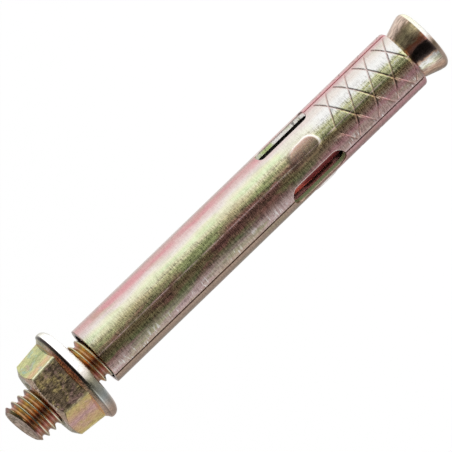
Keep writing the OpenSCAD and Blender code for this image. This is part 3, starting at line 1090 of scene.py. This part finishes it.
def neck_plating(n, turn, radius):
    """Colours of the flange's slopes, with an orange ring inside the crease and a dark line before the
    rim. The orange ring is a painted highlight on the crease and the dark line is painted shade."""
    ring = n.between(radius, CREASE_R - 0.30, CREASE_R - 0.18, CREASE_R - 0.12, CREASE_R - 0.02)
    colour = n.tint(n.bands(turn, NUT_NECK_BANDS), ORANGE, ring, 0.8)
    line = n.between(radius, FLANGE_R - 0.42, FLANGE_R - 0.30, FLANGE_R - 0.2, FLANGE_R - 0.12)
    return n.tint(colour, SHADE_DARK, line, 0.8)


def nut_material():
    """Plated forging: patchy colour on each face, streaked along the axis by the die, with a dark neck
    and a pale rim. The dark of the neck and of the side toward the camera is painted shade, and the
    pale rim and the hexagon's corners carry painted highlights."""
    n = Nodes("nut_plating")
    place = n.place()
    turn, height = n.azimuth(place)
    turn = n.wander(turn, n.noise(place, 0.7), 0.02)
    colour = n.bands(turn, NUT_FACE_BANDS)
    upper_face = n.mask(turn, [(30, 0), (38, 1), (90, 1), (98, 0)])
    patch = n.remap(n.noise(place, 0.8, (1, 1, 1), 3, 0.6, 0.5), 0.54, 0.64)
    colour = n.tint(colour, n.mix(upper_face, GOLD, SKY), patch, 0.55)
    blush = n.remap(n.noise(place, 0.7, (1, 1, 1), 3, 0.6, 0.8), 0.54, 0.64)
    colour = n.tint(colour, PINK, blush, 0.40)

    slopes, rim, front, corner = n.marks("forge")
    colour = n.mix(slopes, colour, neck_plating(n, turn, n.radius(place)))
    # The rim is painted white as a highlight on the lit side, with a dark line of painted shade along
    # its top there.
    lit_side = n.mask(turn, [(-18, 0), (-6, 1), (66, 1), (84, 0.2), (100, 0)])
    rim_top = n.remap(height, NUT_Z0 + 1.10, NUT_Z0 + 1.18)
    rim_colour = n.mix(n.times(rim_top, lit_side), n.bands(turn, NUT_RIM_HIGHLIGHT_BANDS), SHADE_DARK)
    colour = n.mix(rim, colour, rim_colour)
    colour = n.tint(colour, n.bands(turn, NUT_FRONT_BANDS), front, 0.9)
    # Painted highlight on the hexagon's corners, strongest on the lit side.
    corner = n.times(corner, n.mask(turn, [(-60, 0.3), (-10, 0.3), (10, 1), (60, 1)]))
    colour = n.tint(colour, CREAM, corner, 0.7)
    mottle = n.noise(place, 4.2, (1, 1, 0.45), 4, 0.72, 0.4)
    fine = n.noise(place, 9.0, (1, 1, 0.6), 3, 0.7)
    # Painted shade, mottled, on the side turned to the camera, except on the rim.
    shaded_face = n.mask(turn, [(-26, 0.2), (-20, 1), (30, 1), (34, 0.2)])
    deep = n.darken(colour, n.remap(mottle, 0.42, 0.60, 0.45, 1.6))
    colour = n.mix(n.times(shaded_face, n.opposite(rim)), colour, deep)
    shade = n.remap(n.weighed((mottle, 0.7), (fine, 0.3)), 0.36, 0.64, 0.78, 1.18)
    colour = n.darken(colour, shade)
    pale_rim = n.times(n.times(rim, lit_side), n.opposite(rim_top))
    bare = n.weighed((front, 0.25), (corner, 0.3), (pale_rim, 0.7), (slopes, 0.18))
    normal = n.bump(fine, 0.012, 0.6, n.bump(mottle, 0.025, 0.6))
    return n.metal(colour, mottle, normal, bare, 0.20, 0.34)


# Stage: floor, world, the dome that the metal mirrors, and a lamp

FLOOR_HALF = 3000.0
FLOOR_GREY = 0.9
FLOOR_WHITE_SHARE = 0.975


def floor():
    """Pale floor. It is lifted to white for the camera and keeps a faint shadow."""
    corners = [(x * FLOOR_HALF, y * FLOOR_HALF, 0) for x, y in ((-1, -1), (1, -1), (1, 1), (-1, 1))]
    obj = mesh_object("floor", corners, [(0, 1, 2, 3)])
    n = Nodes("floor_white")
    diffuse = n.add("ShaderNodeBsdfDiffuse")
    diffuse.inputs["Color"].default_value = (*grey(FLOOR_GREY), 1)
    white = n.add("ShaderNodeEmission")
    white.inputs["Color"].default_value = (*grey(1), 1)
    white.inputs["Strength"].default_value = 1.0
    seen = n.add("ShaderNodeLightPath").outputs["Is Camera Ray"]
    mixed = n.add("ShaderNodeMixShader")
    n.link(n.times(seen, FLOOR_WHITE_SHARE), mixed.inputs[0])
    n.link(diffuse.outputs[0], mixed.inputs[1])
    n.link(white.outputs[0], mixed.inputs[2])
    n.link(mixed.outputs[0], n.output.inputs["Surface"])
    obj.data.materials.append(n.material)
    obj.visible_glossy = False


def world():
    """Even white world, which the camera sees and which fills the shade."""
    scene_world = bpy.data.worlds.new("studio")
    bpy.context.scene.world = scene_world
    scene_world.use_nodes = True
    tree = scene_world.node_tree
    tree.nodes.clear()
    background = tree.nodes.new("ShaderNodeBackground")
    background.inputs["Color"].default_value = (*grey(1), 1)
    background.inputs["Strength"].default_value = 1.0
    output = tree.nodes.new("ShaderNodeOutputWorld")
    tree.links.new(background.outputs[0], output.inputs["Surface"])


# What the metal mirrors, as brightness by side angle: at the height of the anchor, above and below
LEVEL_GREYS = (
    (-178, 0.62), (-160, 0.42), (-142, 0.32), (-122, 0.45), (-100, 0.58), (-80, 0.48), (-60, 0.34),
    (-42, 0.18), (-30, 0.10), (-20, 0.05), (-10, 0.10), (0, 0.27), (10, 0.34), (20, 0.60), (30, 0.92),
    (40, 1.0), (60, 1.0), (80, 0.98), (100, 0.90), (120, 0.79), (140, 0.85), (160, 0.80),
)
UPPER_GREYS = (
    (-175, 0.20), (-144, 0.30), (-120, 0.60), (-96, 0.95), (-64, 1.0), (-54, 0.40), (-46, 0.02),
    (-4, 0.02), (6, 0.18), (36, 0.20), (60, 0.20), (100, 0.24), (118, 0.42), (150, 0.30),
)
LOWER_GREYS = (
    (-175, 0.75), (-150, 0.40), (-50, 0.36), (-10, 0.75), (15, 1.0), (170, 1.0),
)
ZENITH_GREY = 0.05
DOME_R = 500.0
DOME_STEPS = 48
# Where one band of the dome gives way to the next, as sines of the rise
LOWER_TO_LEVEL = (-0.36, -0.22)
LEVEL_TO_UPPER = (0.24, 0.34)
UPPER_TO_ZENITH = (0.74, 0.84)


def dome():
    """Studio surroundings that only the metal mirrors: dark at the camera and overhead, white low
    down and on the lit side."""
    turns = np.linspace(0, TAU, DOME_STEPS, endpoint=False)
    verts = []
    for rise in np.linspace(-math.pi / 2, math.pi / 2, DOME_STEPS + 1):
        verts += turned(turns, DOME_R * math.cos(rise), DOME_R * math.sin(rise))
    obj = mesh_object("dome", verts, grid_faces(DOME_STEPS + 1, DOME_STEPS, True))
    n = Nodes("dome_card")
    turn, height = n.azimuth(n.place())
    colour = n.mask(turn, LOWER_GREYS)
    for (start, end), above in ((LOWER_TO_LEVEL, n.mask(turn, LEVEL_GREYS)),
                                (LEVEL_TO_UPPER, n.mask(turn, UPPER_GREYS)),
                                (UPPER_TO_ZENITH, grey(ZENITH_GREY))):
        colour = n.mix(n.remap(height, start * DOME_R, end * DOME_R), colour, above)
    glow = n.add("ShaderNodeEmission")
    n.link(colour, glow.inputs["Color"])
    n.link(glow.outputs[0], n.output.inputs["Surface"])
    obj.data.materials.append(n.material)
    obj.visible_camera = False
    obj.visible_diffuse = False
    obj.visible_shadow = False
    obj.visible_transmission = False


KEY_SIDE = 62.0
KEY_RISE = 40.0
KEY_DISTANCE = 450.0
KEY_SIZE = 300.0
KEY_WATTS = 1.5


def key_lamp():
    """Soft square lamp for the shadow, aimed at the middle of the anchor."""
    data = bpy.data.lights.new("key", "AREA")
    data.shape = "SQUARE"
    data.size = KEY_SIZE * MM
    data.energy = KEY_WATTS
    obj = in_scene("key", data)
    side = math.radians(KEY_SIDE)
    rise = math.radians(KEY_RISE)
    level = math.cos(rise)
    way = Vector((level * math.sin(side), -level * math.cos(side), math.sin(rise)))
    middle = Vector((0, 0, BOLT_L / 2 * MM))
    obj.location = middle + way * KEY_DISTANCE * MM
    obj.rotation_euler = (middle - obj.location).to_track_quat("-Z", "Y").to_euler()
    obj.visible_camera = False
    obj.visible_glossy = False


def studio():
    """White floor and world, the dome that the metal mirrors, and a soft lamp for the shadow."""
    floor()
    world()
    dome()
    key_lamp()


# Camera

PHOTO_SIZE = 452
AXIS_MIDDLE_PX = (223.7, 232.2)
AXIS_DIRECTION_PX = (-0.7195, 0.6944)
PX_PER_MM = 8.747
CAMERA_DISTANCE = 1150.0
CAMERA_RISE = 6.3
SENSOR = 36.0
NEAR_CLIP = 50.0
FAR_CLIP = 20000.0


def camera():
    """Long lens, slightly above the anchor's middle, rolled so that the anchor lies as in the photo."""
    data = bpy.data.cameras.new("camera")
    data.sensor_width = SENSOR
    data.lens = CAMERA_DISTANCE * PX_PER_MM * SENSOR / PHOTO_SIZE
    data.clip_start = NEAR_CLIP * MM
    data.clip_end = FAR_CLIP * MM
    obj = in_scene("camera", data)
    rise = math.radians(CAMERA_RISE)
    back = Vector((0, -math.cos(rise), math.sin(rise)))
    upright = Vector((0, math.sin(rise), math.cos(rise)))
    across = Vector((1, 0, 0))
    # The anchor's +Z shows along this direction, so the image's own axes follow from it
    dx, dy = AXIS_DIRECTION_PX
    size = math.hypot(dx, dy)
    cos_a, sin_a = -dy / size, dx / size
    image_up = upright * cos_a - across * sin_a
    image_right = upright * sin_a + across * cos_a
    middle = Vector((0, 0, BOLT_L / 2))
    off_x = (AXIS_MIDDLE_PX[0] - PHOTO_SIZE / 2) / PX_PER_MM
    off_y = -(AXIS_MIDDLE_PX[1] - PHOTO_SIZE / 2) / PX_PER_MM
    aim = middle - image_right * off_x - image_up * off_y
    eye = aim + back * CAMERA_DISTANCE
    basis = Matrix((image_right, image_up, back)).transposed().to_4x4()
    obj.matrix_world = Matrix.Translation(eye * MM) @ basis
    bpy.context.scene.camera = obj


# Build

def dress(obj, node, body, material):
    """Gives a piece its material, ties it to the body that it stands for and hides the CAD node that it
    replaces.
    """
    obj.data.materials.append(material)
    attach(obj, body)
    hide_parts(node)


dress(build_bolt(), "cone_bolt", "bolt", bolt_material())
dress(build_sleeve(), "expansion_sleeve", "sleeve", sleeve_material())
dress(build_nut(), "flange_nut", "nut", nut_material())
studio()
camera()
bpy.context.scene.view_settings.view_transform = "Standard"
